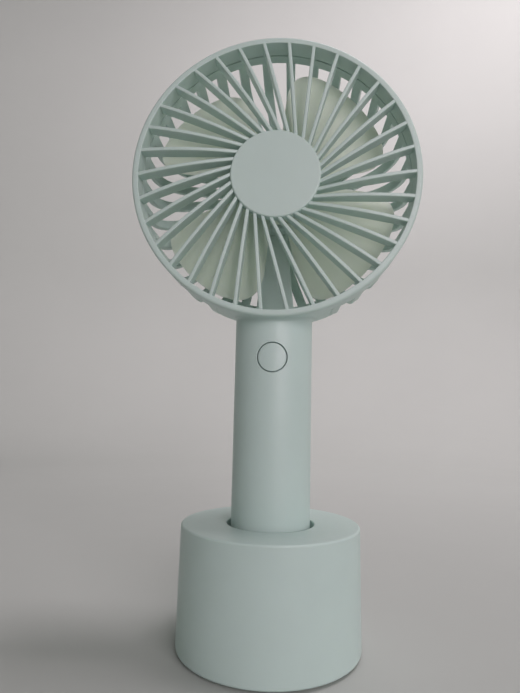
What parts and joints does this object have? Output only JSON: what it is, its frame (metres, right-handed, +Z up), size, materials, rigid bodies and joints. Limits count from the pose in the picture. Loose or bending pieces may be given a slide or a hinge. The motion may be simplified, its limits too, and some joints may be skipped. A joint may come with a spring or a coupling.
{
  "type": "handheld electric fan",
  "caption": "Handheld electric fan with a round grilled head and a straight tube handle, standing in its round charging base.",
  "frame": {"origin": "centre of the underside of the base, on the surface it stands on", "axes": "+Z up along the handle, the fan blows towards -Y, +X to the right seen from the front"},
  "size_m": [0.1, 0.0628, 0.2108],
  "materials": {
    "shell_plastic": "satin moulded plastic, pale mint",
    "grille_plastic": "satin moulded plastic, pale mint, slightly lighter",
    "impeller_plastic": "translucent ivory moulded plastic",
    "button_plastic": "satin moulded plastic, pale mint",
    "silicone": "matt silicone",
    "steel": "zinc-plated steel",
    "brass": "gold-flashed brass",
    "ferrite": "dark sintered ferrite",
    "rotor_core": "laminated core with enamelled copper windings",
    "black_plastic": "black nylon",
    "circuit_board": "green solder mask",
    "cell_wrap": "steel can in a shrink sleeve",
    "foam": "closed-cell foam",
    "red_insulation": "red PVC insulation",
    "black_insulation": "black PVC insulation"
  },
  "bodies": {
    "base": {"base_shell": "shell_plastic", "base_plate": "shell_plastic", "counterweight": "steel", "anti_slip_pad": "silicone", "base_screw_1": "steel", "base_screw_2": "steel", "base_screw_3": "steel", "charge_board": "circuit_board", "base_usb_inlet": "steel", "pin_holder": "black_plastic"},
    "contact_pin_centre": {"contact_pin_centre": "brass"},
    "contact_pin_outer": {"contact_pin_outer": "brass"},
    "fan": {"main_shell": "shell_plastic", "rear_grille": "grille_plastic", "rear_cap": "grille_plastic", "handle_end_cap": "shell_plastic", "cap_screw_1": "steel", "cap_screw_2": "steel", "contact_ring": "brass", "contact_disc": "brass", "battery_cell": "cell_wrap", "positive_tab": "steel", "negative_tab": "steel", "battery_pad_right": "foam", "battery_pad_left": "foam", "battery_lead": "black_insulation", "main_board": "circuit_board", "control_chip": "black_plastic", "handle_usb_inlet": "steel", "switch_board": "circuit_board", "switch_body": "black_plastic", "motor_can": "steel", "motor_front_bush": "brass", "motor_magnet_1": "ferrite", "motor_magnet_2": "ferrite", "motor_end_cap": "black_plastic", "motor_screw_1": "steel", "motor_screw_2": "steel", "motor_lead_black": "black_insulation", "motor_lead_red": "red_insulation"},
    "impeller": {"impeller": "impeller_plastic", "motor_shaft": "steel", "motor_rotor": "rotor_core"},
    "front_cover": {"front_grille": "grille_plastic"},
    "power_button": {"power_button": "button_plastic", "switch_plunger": "black_plastic"}
  },
  "joints": [
    {"name": "fan_lift", "type": "slide", "parent": "base", "child": "fan", "axis": [0, 0, 1], "range_m": [0, 0.04]},
    {"name": "impeller_spin", "type": "hinge", "parent": "fan", "child": "impeller", "pos_m": [0, 0, 0.1608], "axis": [0, -1, 0], "continuous": true},
    {"name": "cover_twist", "type": "hinge", "parent": "fan", "child": "front_cover", "pos_m": [0, 0, 0.1608], "axis": [0, -1, 0], "range_deg": [0, 12]},
    {"name": "button_press", "type": "slide", "parent": "fan", "child": "power_button", "axis": [0, 1, 0], "range_m": [0, 0.0005], "stiffness_N_per_m": 1200, "springref_m": -0.0005},
    {"name": "contact_pin_centre_slide", "type": "slide", "parent": "base", "child": "contact_pin_centre", "axis": [0, 0, 1], "range_m": [-0.0008, 0], "stiffness_N_per_m": 400, "springref_m": 0.0008},
    {"name": "contact_pin_outer_slide", "type": "slide", "parent": "base", "child": "contact_pin_outer", "axis": [0, 0, 1], "range_m": [-0.0008, 0], "stiffness_N_per_m": 400, "springref_m": 0.0008}
  ]
}
